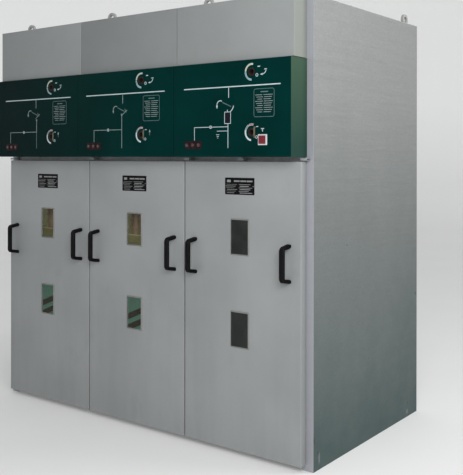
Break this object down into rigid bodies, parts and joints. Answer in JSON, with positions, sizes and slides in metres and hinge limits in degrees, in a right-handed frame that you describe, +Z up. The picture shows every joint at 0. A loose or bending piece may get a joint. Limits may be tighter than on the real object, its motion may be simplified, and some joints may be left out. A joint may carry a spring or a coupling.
{
  "type": "ring main unit",
  "caption": "Row of medium-voltage switch bays with mimic control boxes, windowed lift-off front covers, pull handles and roof lifting eyes.",
  "frame": {"origin": "centre of the bounding box on the floor", "axes": "+X to the right seen from the front, +Y towards the back, +Z up; the front covers face -Y"},
  "size_m": [2.23, 1.2174, 2.266],
  "materials": {
    "coated_sheet": "satin zinc-aluminium coat",
    "zinc_sheet": "galvanised",
    "grey_paint": "fine powder coat",
    "green_paint": "satin powder coat",
    "clear_pane": "clear",
    "gasket_rubber": "moulded profile",
    "black_plastic": "moulded",
    "socket_steel": "dark",
    "lamp_lens": "lens",
    "white_plastic": "moulded",
    "red_plastic": "moulded",
    "zinc_forging": "zinc plated",
    "cast_resin": "cast",
    "tank_steel": "stainless sheet",
    "bar_brass": "plain",
    "post_resin": "cast resin",
    "yellow_zinc": "yellow passivated",
    "olive_board": "laminate",
    "teal_board": "laminate",
    "brown_paint": "satin"
  },
  "bodies": {
    "unit": {"back_base_rail": "zinc_sheet", "back_panel_1": "zinc_sheet", "back_panel_2": "zinc_sheet", "back_panel_3": "zinc_sheet", "button_frame": "white_plastic", "control_panel_1": "green_paint", "control_panel_2": "green_paint", "control_panel_3": "green_paint", "cover_clips": "zinc_sheet", "diagonal_braces": "brown_paint", "floor_plates": "zinc_sheet", "front_base_rail": "zinc_sheet", "head_cross_rail": "zinc_sheet", "indicator_lamps": "lamp_lens", "left_end_wall": "coated_sheet", "lever_sockets": "socket_steel", "lifting_eyes": "zinc_forging", "low_cross_rail": "zinc_sheet", "lower_boards": "teal_board", "middle_cross_rail": "zinc_sheet", "partition_wall_1": "zinc_sheet", "partition_wall_2": "zinc_sheet", "post_insulators": "post_resin", "right_end_wall": "coated_sheet", "roof_panel_1": "zinc_sheet", "roof_panel_2": "zinc_sheet", "roof_panel_3": "zinc_sheet", "support_angles": "yellow_zinc", "switch_tanks": "tank_steel", "tank_brackets": "zinc_sheet", "tank_bushings": "cast_resin", "terminal_bars": "bar_brass", "upper_boards": "olive_board", "upper_cover_1": "grey_paint", "upper_cover_2": "grey_paint", "upper_cover_3": "grey_paint"},
    "cover_1": {"front_cover_1": "grey_paint", "pull_handles_1": "black_plastic", "window_frames_1": "gasket_rubber", "window_panes_1": "clear_pane"},
    "cover_2": {"front_cover_2": "grey_paint", "pull_handles_2": "black_plastic", "window_frames_2": "gasket_rubber", "window_panes_2": "clear_pane"},
    "cover_3": {"front_cover_3": "grey_paint", "pull_handles_3": "black_plastic", "window_frames_3": "gasket_rubber", "window_panes_3": "clear_pane"},
    "button": {"trip_button": "red_plastic"}
  },
  "joints": [
    {"name": "cover_1_pull", "type": "slide", "parent": "unit", "child": "cover_1", "axis": [0, -1, 0], "range_m": [0, 0.25]},
    {"name": "cover_2_pull", "type": "slide", "parent": "unit", "child": "cover_2", "axis": [0, -1, 0], "range_m": [0, 0.25]},
    {"name": "cover_3_pull", "type": "slide", "parent": "unit", "child": "cover_3", "axis": [0, -1, 0], "range_m": [0, 0.25]},
    {"name": "button_press", "type": "slide", "parent": "unit", "child": "button", "axis": [0, 1, 0], "range_m": [0, 0.004], "stiffness_N_per_m": 500, "springref_m": -0.004}
  ]
}
